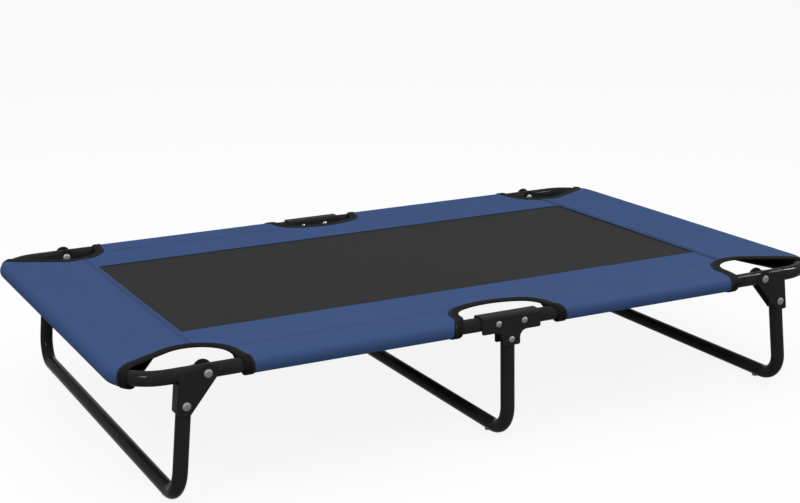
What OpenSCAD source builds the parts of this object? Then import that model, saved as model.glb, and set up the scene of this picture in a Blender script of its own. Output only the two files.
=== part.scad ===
// Raised pet cot: tube frame, fold-away legs and a taut cloth deck.
// Frame: X along the length, Y across, Z up, origin on the floor under the middle.

/* [Frame] */
// Length of the tube frame, end to end
frame_len = 1220; // [900:5:1320]
// Width of the tube frame, side to side
frame_wid = 767; // [560:5:860]
// Height of the top of the rails above the floor
rail_top = 207; // [170:1:230]
// Outer diameter of every tube
tube_d = 22; // [18:0.5:24]
// Wall thickness of every tube
tube_wall = 1.2; // [0.8:0.1:2]
// Bend radius of the four frame corners, to the tube axis
corner_r = 62; // [50:1:75]
// Length of the spigot that joins the two half frames inside each side rail
spigot_len = 110; // [90:1:140]
// Radial slack of the spigot inside the rail
spigot_slack = 0.1; // [0.05:0.05:0.3]

/* [Legs] */
// Bend radius at the foot of each leg, to the tube axis
leg_bend_r = 44; // [36:1:52]
// Outward lean of the two end legs, degrees
leg_splay = 6; // [2:0.5:8]
// Distance of the end leg pivots from the end rail axis
pivot_x = 115; // [109.5:0.5:121.5]
// How far outboard of its pivot an end leg is riveted
leg_rivet_out = 33.5; // [30:0.5:36]
// How far below its pivot an end leg is riveted
leg_rivet_drop = 42.5; // [40:0.5:46]
// Length of end leg tube above its rivet
leg_stub = 20; // [16:1:24]
// Length of middle leg tube above its pivot
mid_leg_stub = 9; // [7:0.5:10]
// How far below the rail axis the middle leg pivots
mid_pivot_drop = 27; // [26:0.5:30]

/* [Brackets] */
// Sheet thickness of the brackets and saddles
sheet_t = 1.6; // [1.2:0.1:2]
// Side gap between a tube and the bracket that moves on it
side_gap = 0.4; // [0.3:0.05:0.6]
// Radius of the ear round each pivot
ear_r = 14; // [12.5:0.5:15]
// Height of the bracket's outer corner above the underside of the rail
bracket_lap = 16; // [3:0.5:18]
// Angle above level at which the bracket's top edge meets its ear
ear_shoulder = 35; // [25:1:50]
// How far the brackets reach below the leg rivets
bracket_foot = 14.5; // [13.5:0.5:17]
// Size of the bevel at the bracket's outer bottom corner
bracket_bevel = 3; // [2:0.5:5]
// Outside bend radius of a folded bracket
fold_r = 2.6; // [1.8:0.1:3]
// Gap between the bracket's web and the rail it stops against
stop_gap = 0.3; // [0.2:0.05:0.5]
// Half length of a saddle along the rail
saddle_half = 51; // [46:0.5:55]
// Outside bend radius of a saddle's flat top
saddle_bend = 5; // [4:0.5:7]
// How far a saddle's arms hang below the rail
saddle_skirt = 3; // [2:0.5:4]
// Half width of the lobe that carries the middle leg
lobe_half = 15; // [13.5:0.5:17]
// How far the lobe reaches below the middle pivot
lobe_drop = 9.5; // [8.5:0.5:11]
// Radius of the hollow between the lobe and the arms
lobe_fillet = 12; // [8:0.5:14]
// Radius of the saddle's outer corners
saddle_round = 3; // [2:0.5:4]
// Side gap between a saddle and the tubes inside it
saddle_gap = 0.3; // [0.3:0.05:0.5]

/* [Rivets and feet] */
// Radius of every rivet's shank
rivet_r = 3; // [2.5:0.1:3.5]
// Radius of the heads of the end legs' rivets
head_r = 6.2; // [5.5:0.1:7]
// Radius of the heads of the saddles' rivets
saddle_head_r = 4.9; // [4.5:0.1:6]
// Height of every rivet's head
head_h = 2.2; // [1.6:0.1:2.6]
// Distance of the saddle rivets from the middle of the cot
saddle_rivet_x = 22.5; // [20:0.5:28]
// Radial running clearance of a turning joint
run_gap = 0.06; // [0.03:0.01:0.1]
// Gap between a rivet's head and the bracket that turns under it
head_gap = 0.15; // [0.1:0.05:0.3]
// Height of the feet under the cross tubes
foot_h = 2.5; // [2:0.5:4]
// Radius of the feet
foot_r = 5; // [4:0.5:6]
// Radius of a foot's stem in the tube wall
foot_stem_r = 2.2; // [1.5:0.1:2.8]
// How far a foot's stem reaches past the tube wall
foot_stem_in = 1.5; // [1:0.1:2.5]
// Gap between a foot and the tube that it sits under
foot_gap = 0.02; // [0.01:0.01:0.1]
// Distance of each foot from the plane of its leg
foot_in = 61; // [56:1:70]

/* [Cloth] */
// Thickness of the cloth and of the mesh
cloth_t = 1; // [0.8:0.1:1.4]
// Slack of the cloth sleeve round the rail
sleeve_gap = 1.2; // [0.8:0.1:1.6]
// Width of the long side sleeves, from rail axis to seam
side_seam = 64; // [56:1:68]
// Width of the end sleeves, from rail axis to seam
end_seam = 116; // [110:1:122]
// Visible width of the mesh
mesh_wid = 438; // [420:1:450]
// How far the cloth laps over the mesh
mesh_lap = 11; // [8:1:14]
// Gap between the end of the mesh and the seam of the end sleeve
mesh_gap = 1; // [0.5:0.1:2]
// How far the open mesh stands above its edge, which the sewn cloth presses down
mesh_swell = 0.3; // [0.1:0.05:0.6]
// Gap between the open mesh and the cloth edge round it
mesh_rim = 0.3; // [0.1:0.05:1]
// Smallest radius of the end sleeve's lower layer round a frame corner
sleeve_turn_r = 6; // [4:0.5:10]
// Radius of the corner cut-outs
cut_r = 52; // [48:0.5:55]
// Distance of the corner cut-outs' centres from the end rail axis
cut_in_x = 111.5; // [106:0.5:114]
// Distance of the corner cut-outs' centres from the side rail axis
cut_in_y = 28; // [25:0.5:31]
// Slope of the corner cut-outs' straight edge, degrees
cut_slope = 30; // [27:0.5:33]
// Half length of the middle cut-outs along the rail
mid_cut_half = 72.5; // [68:0.5:76]
// Depth of the middle cut-outs, from the rail axis
mid_cut_deep = 56; // [53:0.5:58]
// Radius of the middle cut-outs' shoulders
mid_cut_r = 38; // [36:0.5:40]
// Distance of the shoulders' centres from the rail axis
mid_cut_in = 15; // [14:0.5:17]
// Width of the binding tape
tape_w = 14; // [11:0.5:15]
// Thickness of the binding tape
tape_t = 1; // [0.7:0.1:1.2]

/* [Hidden] */
$fn = 64;

// How far a straight edge is let into a round one that it runs into, so that they cross cleanly
bite = 0.02;

// Tube axes of the frame
tr = tube_d / 2;
bore_r = tr - tube_wall;
xe = frame_len / 2 - tr;
ye = frame_wid / 2 - tr;
zr = rail_top - tr;

// End leg, drawn from its rivet: u outward, w up, leaning by leg_splay
piv_x = xe - pivot_x;
leg_x = piv_x + leg_rivet_out;
leg_z = zr - leg_rivet_drop;
bar_z = foot_h + tr;
leg_run = round(10 * (leg_z - bar_z) / cos(leg_splay)) / 10;
end_bar_z = leg_z - leg_run * cos(leg_splay);
foot_x = leg_x + leg_run * sin(leg_splay);
piv_u = -leg_rivet_out * cos(leg_splay) + leg_rivet_drop * sin(leg_splay);
piv_w = leg_rivet_out * sin(leg_splay) + leg_rivet_drop * cos(leg_splay);

// Bracket outline: ear, slanted inner edge that passes the leg rivet, and outer corner
half_in = tr + side_gap;
half_out = half_in + sheet_t;
web_z = rail_top - tube_d - stop_gap;
web_w = (web_z - leg_z) * cos(leg_splay) - half_out * sin(leg_splay);
corner_w = web_w + bracket_lap;
ec_d = norm([piv_u, piv_w]);
ec_a = atan2(-piv_w, -piv_u) - acos((ear_r - half_out) / ec_d);
eq_a = ear_shoulder - leg_splay;

// Saddle and middle leg
sad_in = tr + saddle_gap;
sad_out = sad_in + sheet_t;
mid_z = zr - mid_pivot_drop;
skirt_z = zr - tr - saddle_skirt;

// Cloth: sleeve centre sits a little under the rail axis, so the cloth lies on the rail
si = tr + sleeve_gap;
so = si + cloth_t;
st = so + tape_t;
zc = zr - sleeve_gap;
deck_z = zr + tr;
end_tip = end_seam * so / si - cloth_t / tan(2 * atan2(si, end_seam));
mesh_x = xe - end_tip - mesh_gap;
end_edge = mesh_x - mesh_lap;
side_edge = mesh_wid / 2;
cut_x = xe - cut_in_x;
cut_y = ye - cut_in_y;
far = frame_wid;
mid_cut_y = ye - mid_cut_in;
shoulder_x = mid_cut_half - mid_cut_r;
arch_up = mid_cut_deep - mid_cut_in;
arch_rise = max(arch_up - mid_cut_r, 5 * bite);
arch_r = (shoulder_x * shoulder_x + arch_up * arch_up - mid_cut_r * mid_cut_r)
  / (2 * arch_rise);
arch_y = ye - mid_cut_deep + arch_r;
arch_reach = 3 * arch_r / (arch_r - mid_cut_r);

// Straight tube along X
module rod_x(x0, x1, y, z, r) {
  translate([x0, y, z]) rotate([0, 90, 0]) cylinder(r = r, h = x1 - x0);
}

// Straight tube along Y
module rod_y(x, y0, y1, z, r) {
  translate([x, y0, z]) rotate([-90, 0, 0]) cylinder(r = r, h = y1 - y0);
}

// Quarter bend in a horizontal plane, in the corner of positive x and y
module bend_xy(r) {
  translate([xe - corner_r, ye - corner_r, zr])
    rotate_extrude(angle = 90) translate([corner_r, 0]) circle(r);
}

// One half of the frame as a solid bar of radius r, starting at x0
module half_bar(r, x0) {
  rod_x(x0, xe - corner_r, ye, zr, r);
  rod_x(x0, xe - corner_r, -ye, zr, r);
  rod_y(xe, corner_r - ye, ye - corner_r, zr, r);
  bend_xy(r);
  mirror([0, 1, 0]) bend_xy(r);
}

module half_frame() {
  difference() {
    half_bar(tr, 0);
    half_bar(bore_r, -1);
    for (s = [-1, 1]) {
      pin_hole(piv_x, s * ye, zr, rivet_r);
      pin_hole(saddle_rivet_x, s * ye, zr, rivet_r);
    }
  }
}

// Hole along Y for a rivet
module pin_hole(x, y, z, r) {
  rod_y(x, y - 3 * tr, y + 3 * tr, z, r);
}

module left_half_frame() color([0.1, 0.1, 0.1]) mirror([1, 0, 0]) half_frame();
module right_half_frame() color([0.1, 0.1, 0.1]) half_frame();

// Spigot inside the joint of the two half frames
module spigot(s) {
  difference() {
    rod_x(-spigot_len / 2, spigot_len / 2, s * ye, zr, bore_r - spigot_slack);
    rod_x(-spigot_len, spigot_len, s * ye, zr, bore_r - spigot_slack - tube_wall);
    pin_hole(saddle_rivet_x, s * ye, zr, rivet_r);
    pin_hole(-saddle_rivet_x, s * ye, zr, rivet_r);
  }
}
module front_spigot() color([0.3, 0.3, 0.31]) spigot(-1);
module back_spigot() color([0.3, 0.3, 0.31]) spigot(1);

// Side view of a saddle: arms over the rail, hollow fillets, square lobe
module saddle_outline() {
  lobe_z = mid_z - lobe_drop;
  translate([-saddle_half, skirt_z + saddle_round])
    square([2 * saddle_half, zr + 2 * tr - skirt_z]);
  translate([saddle_round - saddle_half, skirt_z])
    square([2 * (saddle_half - saddle_round), tr]);
  for (s = [-1, 1])
    translate([s * (saddle_half - saddle_round), skirt_z + saddle_round]) circle(saddle_round);
  translate([-lobe_half, lobe_z + saddle_round])
    square([2 * lobe_half, zr - lobe_z]);
  translate([saddle_round - lobe_half, lobe_z])
    square([2 * (lobe_half - saddle_round), tr]);
  for (s = [-1, 1])
    translate([s * (lobe_half - saddle_round), lobe_z + saddle_round]) circle(saddle_round);
  for (s = [-1, 1]) difference() {
    translate([s > 0 ? lobe_half - 1 : -lobe_half - lobe_fillet, skirt_z - lobe_fillet])
      square([lobe_fillet + 1, lobe_fillet + 1]);
    translate([s * (lobe_half + lobe_fillet), skirt_z - lobe_fillet]) circle(lobe_fillet);
  }
}

// End view of a channel from the floor up, with half width half and top corners of radius r
module channel(half, r) {
  translate([-half, -1]) square([2 * half, zr + half - r + 1]);
  translate([r - half, -1]) square([2 * (half - r), zr + half + 1]);
  for (s = [-1, 1]) translate([s * (half - r), zr + half - r]) circle(r);
}

// End view of a saddle: a strip folded flat over the top of the rail and down both sides
module saddle_section() {
  difference() {
    channel(sad_out, saddle_bend);
    channel(sad_in, saddle_bend - sheet_t);
  }
}

module saddle(s) {
  difference() {
    intersection() {
      translate([0, s * ye + 2 * tr, 0]) rotate([90, 0, 0])
        linear_extrude(4 * tr) saddle_outline();
      translate([-saddle_half - 1, s * ye, 0]) rotate([90, 0, 90])
        linear_extrude(2 * saddle_half + 2) saddle_section();
    }
    pin_hole(saddle_rivet_x, s * ye, zr, rivet_r);
    pin_hole(-saddle_rivet_x, s * ye, zr, rivet_r);
    pin_hole(0, s * ye, mid_z, rivet_r);
  }
}
module front_saddle() color([0.12, 0.12, 0.12]) saddle(-1);
module back_saddle() color([0.12, 0.12, 0.12]) saddle(1);

// Rivet along Y with a shallow head at each end; grip is half the length under the heads
module rivet(x, y, z, grip, head) {
  translate([x, y, z]) rotate([90, 0, 0]) rotate_extrude() polygon([
    [0, -grip - head_h], [head * 0.55, -grip - head_h], [head, -grip - head_h * 0.4],
    [head, -grip], [rivet_r, -grip], [rivet_r, grip], [head, grip],
    [head, grip + head_h * 0.4], [head * 0.55, grip + head_h], [0, grip + head_h]]);
}

module saddle_rivets() color([0.45, 0.45, 0.45]) for (s = [-1, 1]) {
  rivet(saddle_rivet_x, s * ye, zr, sad_out, saddle_head_r);
  rivet(-saddle_rivet_x, s * ye, zr, sad_out, saddle_head_r);
}
module middle_pivot_rivets() color([0.45, 0.45, 0.45]) {
  rivet(0, ye, mid_z, sad_out, saddle_head_r);
  rivet(0, -ye, mid_z, sad_out, saddle_head_r);
}
module pivot_rivets() {
  rivet(piv_x, ye, zr, half_out + head_gap, head_r);
  rivet(piv_x, -ye, zr, half_out + head_gap, head_r);
}
module left_pivot_rivets() color([0.45, 0.45, 0.45]) mirror([1, 0, 0]) pivot_rivets();
module right_pivot_rivets() color([0.45, 0.45, 0.45]) pivot_rivets();

// One U-shaped leg as a solid bar: origin at its rivet, stub above, cross tube run below
module leg_bar(r, stub, run) {
  for (s = [0, 1]) mirror([0, s, 0]) {
    translate([0, ye, leg_bend_r - run]) cylinder(r = r, h = stub + run - leg_bend_r);
    translate([0, ye - leg_bend_r, leg_bend_r - run]) rotate([90, 0, 90]) rotate([0, 0, -90])
      rotate_extrude(angle = 90) translate([leg_bend_r, 0]) circle(r);
  }
  rod_y(0, leg_bend_r - ye, ye - leg_bend_r, -run, r);
}

// Hollow leg with its rivet holes and two upright foot holes; lean is its outward tilt
module leg_tube(stub, run, pin_r, lean) {
  difference() {
    leg_bar(tr, stub, run);
    leg_bar(bore_r, stub + 1, run);
    for (s = [-1, 1]) {
      pin_hole(0, s * ye, 0, pin_r);
      translate([0, s * (ye - foot_in), -run]) rotate([0, lean, 0])
        translate([0, 0, -tr - 1]) cylinder(r = foot_stem_r + run_gap, h = tr + 1);
    }
  }
}

module end_leg() {
  translate([leg_x, 0, leg_z]) rotate([0, -leg_splay, 0])
    leg_tube(leg_stub, leg_run, rivet_r, leg_splay);
}
module left_leg() color([0.1, 0.1, 0.1]) mirror([1, 0, 0]) end_leg();
module right_leg() color([0.1, 0.1, 0.1]) end_leg();
module middle_leg() color([0.1, 0.1, 0.1])
  translate([0, 0, mid_z]) leg_tube(mid_leg_stub, mid_z - bar_z, rivet_r + run_gap, 0);

// Side view of an end bracket, drawn from the leg rivet
module bracket_outline() {
  ear_in = ear_r - bite;
  slant_u = (half_out + bracket_foot * sin(ec_a)) / cos(ec_a);
  translate([piv_u, piv_w]) circle(ear_r);
  polygon([[half_out - bracket_bevel, -bracket_foot], [half_out, bracket_bevel - bracket_foot],
    [half_out, corner_w],
    [piv_u + ear_in * cos(eq_a), piv_w + ear_in * sin(eq_a)], [piv_u, piv_w],
    [piv_u + ear_in * cos(ec_a), piv_w + ear_in * sin(ec_a)], [slant_u, -bracket_foot]]);
}

// Plan of an end bracket: two cheeks and an outer web with rounded folds
module bracket_plan() {
  deep = ear_r - piv_u + 1;
  difference() {
    union() {
      translate([-deep, -half_out]) square([deep + half_out - fold_r, 2 * half_out]);
      translate([-deep, fold_r - half_out]) square([deep + half_out, 2 * (half_out - fold_r)]);
      for (s = [-1, 1])
        translate([half_out - fold_r, s * (half_out - fold_r)]) circle(fold_r);
    }
    translate([-2 * deep, -half_in]) square([2 * deep + half_in, 2 * half_in]);
  }
}

module bracket(s) {
  tall = piv_w + ear_r + 1;
  difference() {
    translate([leg_x, s * ye, leg_z]) rotate([0, -leg_splay, 0]) difference() {
      intersection() {
        translate([0, half_out + 1, 0]) rotate([90, 0, 0])
          linear_extrude(2 * half_out + 2) bracket_outline();
        translate([0, 0, -bracket_foot - 1])
          linear_extrude(tall + bracket_foot + 1) bracket_plan();
      }
      translate([half_in - 1, -half_in, web_w]) cube([2 * sheet_t + 1, 2 * half_in, tall]);
    }
    pin_hole(leg_x, s * ye, leg_z, rivet_r);
    pin_hole(piv_x, s * ye, zr, rivet_r + run_gap);
  }
}
module left_front_bracket() color([0.12, 0.12, 0.12]) mirror([1, 0, 0]) bracket(-1);
module left_back_bracket() color([0.12, 0.12, 0.12]) mirror([1, 0, 0]) bracket(1);
module right_front_bracket() color([0.12, 0.12, 0.12]) bracket(-1);
module right_back_bracket() color([0.12, 0.12, 0.12]) bracket(1);

module leg_rivets() {
  rivet(leg_x, ye, leg_z, half_out, head_r);
  rivet(leg_x, -ye, leg_z, half_out, head_r);
}
module left_leg_rivets() color([0.45, 0.45, 0.45]) mirror([1, 0, 0]) leg_rivets();
module right_leg_rivets() color([0.45, 0.45, 0.45]) leg_rivets();

// Feet with flat bottoms, stems in the wall of the cross tube at x and z
module feet(x, z) {
  for (s = [-1, 1]) {
    difference() {
      translate([x, s * (ye - foot_in), 0]) cylinder(r = foot_r, h = foot_h + tr / 4);
      rod_y(x, -ye, ye, z, tr + foot_gap);
    }
    translate([x, s * (ye - foot_in), foot_h / 2])
      cylinder(r = foot_stem_r, h = foot_h / 2 + tube_wall + foot_stem_in);
  }
}
module left_feet() color([0.4, 0.4, 0.4]) mirror([1, 0, 0]) feet(foot_x, end_bar_z);
module right_feet() color([0.4, 0.4, 0.4]) feet(foot_x, end_bar_z);
module middle_feet() color([0.4, 0.4, 0.4]) feet(0, bar_z);

// Plan of the rail axis, with its rounded corners
module deck_plan() {
  square([2 * xe, 2 * (ye - corner_r)], center = true);
  square([2 * (xe - corner_r), 2 * ye], center = true);
  for (i = [-1, 1], j = [-1, 1])
    translate([i * (xe - corner_r), j * (ye - corner_r)]) circle(corner_r);
}

// Corner cut-out of positive x and y, grown by g
module corner_cut(g) {
  r = cut_r + g;
  c = [cut_x, cut_y];
  t = c + (r - bite) * [sin(cut_slope), -cos(cut_slope)];
  e = t + far * [cos(cut_slope), sin(cut_slope)];
  translate(c) circle(r);
  polygon([c, t, e, [e[0], cut_y + far], [cut_x - r, cut_y + far], [cut_x - r, cut_y]]);
}

// Middle cut-out of the side with positive y, grown by g: two round shoulders and a flat arch
module middle_cut(g) {
  w = mid_cut_half + g;
  for (s = [-1, 1])
    translate([s * shoulder_x, mid_cut_y]) circle(mid_cut_r + g);
  translate([-w, mid_cut_y]) square([2 * w, far]);
  intersection() {
    translate([0, arch_y]) circle(arch_r + g - bite);
    polygon([[0, arch_y], arch_reach * [-shoulder_x, mid_cut_y - arch_y] + [0, arch_y],
      arch_reach * [shoulder_x, mid_cut_y - arch_y] + [0, arch_y]]);
  }
}

// Upright prism through everything
module through() {
  translate([0, 0, zr - 3 * tr]) linear_extrude(6 * tr) children();
}

// Section of a sleeve: circle round the rail running out to a seam
module drop(r, seam) {
  low = 2 * atan2(si, seam) - 90;
  in = r - bite;
  circle(r);
  polygon([[0, 0], [0, r], [seam * r / si, r], [in * cos(low), in * sin(low)]]);
}

// Sleeve wall between two radii, without the flat top that the deck sheet makes
module sleeve_wall(r0, r1, seam) {
  difference() {
    drop(r1, seam);
    drop(r0, seam);
    translate([0, si]) square([2 * seam, far]);
  }
}

// Sleeve wall run along the back rail, both ways to x
module side_wall(r0, r1, x0, x1) {
  translate([x0, ye, zc]) rotate([90, 0, 90]) linear_extrude(x1 - x0)
    mirror([1, 0]) sleeve_wall(r0, r1, side_seam);
}

// Sleeve wall run along the right rail and on round the start of both bends
module end_wall(r0, r1) {
  translate([xe, ye - corner_r, zc]) rotate([90, 0, 0]) linear_extrude(2 * (ye - corner_r))
    mirror([1, 0]) sleeve_wall(r0, r1, end_seam);
  for (m = [0, 1]) mirror([0, m, 0])
    translate([xe - corner_r, ye - corner_r, zc]) rotate_extrude(angle = 45)
      intersection() {
        translate([corner_r, 0]) mirror([1, 0]) sleeve_wall(r0, r1, end_seam);
        translate([sleeve_turn_r, -far]) square([far, 2 * far]);
      }
}

// Mesh with its sewn edge under the cloth and its open middle standing a little proud
module mesh_panel() color([0.16, 0.16, 0.16]) {
  open_x = end_edge - mesh_rim;
  open_y = side_edge - mesh_rim;
  translate([-mesh_x, -side_edge - mesh_lap, deck_z - cloth_t])
    cube([2 * mesh_x, 2 * (side_edge + mesh_lap), cloth_t]);
  translate([-open_x, -open_y, deck_z - cloth_t / 2])
    cube([2 * open_x, 2 * open_y, cloth_t / 2 + mesh_swell]);
}

// Long side panel at the back: deck sheet and sleeve, with three cut-outs
module side_panel() {
  difference() {
    union() {
      translate([-end_edge, side_edge, deck_z])
        cube([2 * end_edge, ye - side_edge, cloth_t]);
      side_wall(si, so, -end_edge, end_edge);
    }
    through() corner_cut(0);
    through() mirror([1, 0]) corner_cut(0);
    through() middle_cut(0);
  }
}
module back_panel() color([0.2, 0.28, 0.46]) side_panel();
module front_panel() color([0.2, 0.28, 0.46]) mirror([0, 1, 0]) side_panel();

// Full-width panel at the right end: deck sheet and sleeve, with two cut-outs
module end_panel() {
  difference() {
    union() {
      translate([0, 0, deck_z]) linear_extrude(cloth_t) intersection() {
        deck_plan();
        translate([end_edge, -far]) square([far, 2 * far]);
      }
      end_wall(si, so);
    }
    through() corner_cut(0);
    through() mirror([0, 1]) corner_cut(0);
  }
}
module right_end_panel() color([0.2, 0.28, 0.46]) end_panel();
module left_end_panel() color([0.2, 0.28, 0.46]) mirror([1, 0, 0]) end_panel();

// Tape on the deck sheet: a strip on top and a lip over the cut edge
module tape_top() {
  translate([0, 0, deck_z + cloth_t]) linear_extrude(tape_t) intersection() {
    deck_plan();
    difference() { children(0); children(2); }
  }
  translate([0, 0, deck_z]) linear_extrude(cloth_t) intersection() {
    deck_plan();
    difference() { children(1); children(2); }
  }
}

// Loop of tape round the corner cut-out of positive x and y
module corner_tape() {
  tape_top() { corner_cut(tape_w); corner_cut(0); corner_cut(-tape_t); }
  intersection() {
    union() {
      side_wall(so, st, cut_x - 2 * cut_r, end_edge);
      end_wall(so, st);
    }
    through() difference() { corner_cut(tape_w); corner_cut(-tape_t); }
  }
  intersection() {
    union() {
      side_wall(si, so, cut_x - 2 * cut_r, end_edge);
      end_wall(si, so);
    }
    through() difference() { corner_cut(0); corner_cut(-tape_t); }
  }
}

// Loop of tape round the middle cut-out of the side with positive y
module middle_tape() {
  tape_top() { middle_cut(tape_w); middle_cut(0); middle_cut(-tape_t); }
  intersection() {
    side_wall(so, st, -2 * mid_cut_half, 2 * mid_cut_half);
    through() difference() { middle_cut(tape_w); middle_cut(-tape_t); }
  }
  intersection() {
    side_wall(si, so, -2 * mid_cut_half, 2 * mid_cut_half);
    through() difference() { middle_cut(0); middle_cut(-tape_t); }
  }
}
module back_right_tape() color([0.08, 0.08, 0.08]) corner_tape();
module back_left_tape() color([0.08, 0.08, 0.08]) mirror([1, 0, 0]) corner_tape();
module back_middle_tape() color([0.08, 0.08, 0.08]) middle_tape();
module front_right_tape() color([0.08, 0.08, 0.08]) mirror([0, 1, 0]) corner_tape();
module front_left_tape() color([0.08, 0.08, 0.08]) rotate([0, 0, 180]) corner_tape();
module front_middle_tape() color([0.08, 0.08, 0.08]) mirror([0, 1, 0]) middle_tape();

left_half_frame();
right_half_frame();
front_spigot();
back_spigot();
front_saddle();
back_saddle();
saddle_rivets();
middle_pivot_rivets();
left_pivot_rivets();
right_pivot_rivets();
mesh_panel();
front_panel();
back_panel();
left_end_panel();
right_end_panel();
front_left_tape();
front_middle_tape();
front_right_tape();
back_left_tape();
back_middle_tape();
back_right_tape();
left_leg();
left_front_bracket();
left_back_bracket();
left_leg_rivets();
left_feet();
right_leg();
right_front_bracket();
right_back_bracket();
right_leg_rivets();
right_feet();
middle_leg();
middle_feet();
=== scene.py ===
import math

import bmesh
import bpy
from mathutils import Matrix, Vector


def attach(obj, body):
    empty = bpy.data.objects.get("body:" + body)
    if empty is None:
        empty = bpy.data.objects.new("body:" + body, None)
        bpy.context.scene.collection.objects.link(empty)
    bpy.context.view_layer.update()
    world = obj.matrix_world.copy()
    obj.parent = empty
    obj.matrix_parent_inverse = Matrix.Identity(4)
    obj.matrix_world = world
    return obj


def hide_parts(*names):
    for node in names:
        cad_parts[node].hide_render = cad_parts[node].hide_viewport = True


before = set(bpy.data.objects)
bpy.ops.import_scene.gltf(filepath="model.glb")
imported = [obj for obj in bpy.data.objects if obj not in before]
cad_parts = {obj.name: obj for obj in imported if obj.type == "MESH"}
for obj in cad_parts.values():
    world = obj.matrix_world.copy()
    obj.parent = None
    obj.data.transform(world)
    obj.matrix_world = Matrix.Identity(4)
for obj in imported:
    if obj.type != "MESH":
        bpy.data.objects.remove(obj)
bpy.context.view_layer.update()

scene = bpy.context.scene
scene.view_settings.view_transform = "Standard"


# Studio and camera
# The cot stands on a plain pale floor under one broad soft lamp, with a weak lamp at the front
# left and a soft fill from the front. Two more lamps only add highlights, such as the glints on
# the black steel. The camera is where the photograph was taken from.
class Wire:
    """One value in a node tree; arithmetic on it adds Math nodes."""

    def __init__(self, tree, socket=None):
        self.tree, self.socket = tree, socket

    def node(self, kind, settings=None, inputs=None, out=0):
        """Adds a node with these settings and inputs, and gives one of its outputs."""
        made = self.tree.nodes.new(kind)
        for key, value in (settings or {}).items():
            setattr(made, key, value)
        for key, value in (inputs or {}).items():
            if isinstance(value, Wire):
                self.tree.links.new(value.socket, made.inputs[key])
            else:
                made.inputs[key].default_value = value
        return Wire(self.tree, made.outputs[out] if made.outputs else None)

    def math(self, operation, first, second=0.0):
        return self.node("ShaderNodeMath", {"operation": operation}, {0: first, 1: second})

    def __add__(self, other):
        return self.math("ADD", self, other)

    def __sub__(self, other):
        return self.math("SUBTRACT", self, other)

    def __rsub__(self, other):
        return self.math("SUBTRACT", other, self)

    def __mul__(self, other):
        return self.math("MULTIPLY", self, other)

    def __truediv__(self, other):
        return self.math("DIVIDE", self, other)

    def __pow__(self, other):
        return self.math("POWER", self, other)

    __radd__ = __add__
    __rmul__ = __mul__

    def sine(self):
        return self.math("SINE", self)

    def size(self):
        return self.math("ABSOLUTE", self)

    def least(self, other):
        return self.math("MINIMUM", self, other)

    def most(self, other):
        return self.math("MAXIMUM", self, other)

    def held(self):
        """Kept between 0 and 1."""
        return self.most(0.0).least(1.0)


def blend_colour(wire, share, one, other):
    """A colour that share leads from one to the other; each is a plain colour or a value."""
    ends = [end if isinstance(end, Wire) else (*end, 1) for end in (one, other)]
    return wire.node("ShaderNodeMix", {"data_type": "RGBA"},
                     {0: share, 6: ends[0], 7: ends[1]}, out=2)


def look_from(eye, right, up, ahead):
    """A camera's place and turn, from its eye and the ways it points."""
    turn = Matrix((right, up, -ahead)).transposed().to_4x4()
    return Matrix.Translation(eye) @ turn


PHOTO_WIDTH, FOCAL_PIXELS = 800, 1539.88
SENSOR = 36.0
camera = bpy.data.objects.new("camera", bpy.data.cameras.new("camera"))
scene.collection.objects.link(camera)
camera.matrix_world = look_from(
    eye=Vector((-1.14082, -2.30593, 0.87270)),
    right=Vector((0.89325089, -0.44918449, -0.01833385)),
    up=Vector((0.12607843, 0.21115804, 0.96928660)),
    ahead=Vector((0.43151717, 0.86812762, -0.24524959)),
)
camera.data.sensor_width = SENSOR
camera.data.lens = FOCAL_PIXELS / PHOTO_WIDTH * SENSOR
camera.data.clip_end = 100
scene.camera = camera

world = bpy.data.worlds.new("studio")
scene.world = world
world.use_nodes = True
world.node_tree.nodes.clear()
air = Wire(world.node_tree)


def seen_ray(wire):
    """1 for rays that show the background itself: straight, mirrored or through glass."""
    ray = wire.node("ShaderNodeLightPath")
    parts = ray.socket.node.outputs
    mirrored = Wire(wire.tree, parts["Is Glossy Ray"])
    through = Wire(wire.tree, parts["Is Transmission Ray"])
    return Wire(wire.tree, parts["Is Camera Ray"]).most(mirrored).most(through)


# The sky lights the cot at this strength, and is white where it is seen
SKY = 0.42
sky = air.node("ShaderNodeBackground", None,
               {"Color": (1, 1, 1, 1), "Strength": SKY + (1 - SKY) * seen_ray(air)})
air.node("ShaderNodeOutputWorld", None, {"Surface": sky})

# The floor throws back a dimmer light than it shows, and where it is seen most of it is plain
# white, so that only a soft shadow is left
FLOOR, FLOOR_WHITE = 30.0, 0.89
DIM_FLOOR, PALE_FLOOR = (0.45, 0.45, 0.45), (0.96, 0.96, 0.96)
floor_mesh = bpy.data.meshes.new("floor")
floor_mesh.from_pydata([(-FLOOR, -FLOOR, 0), (FLOOR, -FLOOR, 0), (FLOOR, FLOOR, 0),
                        (-FLOOR, FLOOR, 0)], [], [(0, 1, 2, 3)])
floor = bpy.data.objects.new("floor", floor_mesh)
scene.collection.objects.link(floor)
pale = bpy.data.materials.new("pale_floor")
pale.use_nodes = True
pale.node_tree.nodes.clear()
ground = Wire(pale.node_tree)
seen = seen_ray(ground)
lit = ground.node("ShaderNodeBsdfDiffuse", None,
                  {"Color": blend_colour(ground, seen, DIM_FLOOR, PALE_FLOOR)})
glow = ground.node("ShaderNodeEmission", None, {"Color": (1, 1, 1, 1), "Strength": 1.0})
both = ground.node("ShaderNodeMixShader", None, {0: FLOOR_WHITE * seen, 1: lit, 2: glow})
ground.node("ShaderNodeOutputMaterial", None, {"Surface": both})
floor_mesh.materials.append(pale)


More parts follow.
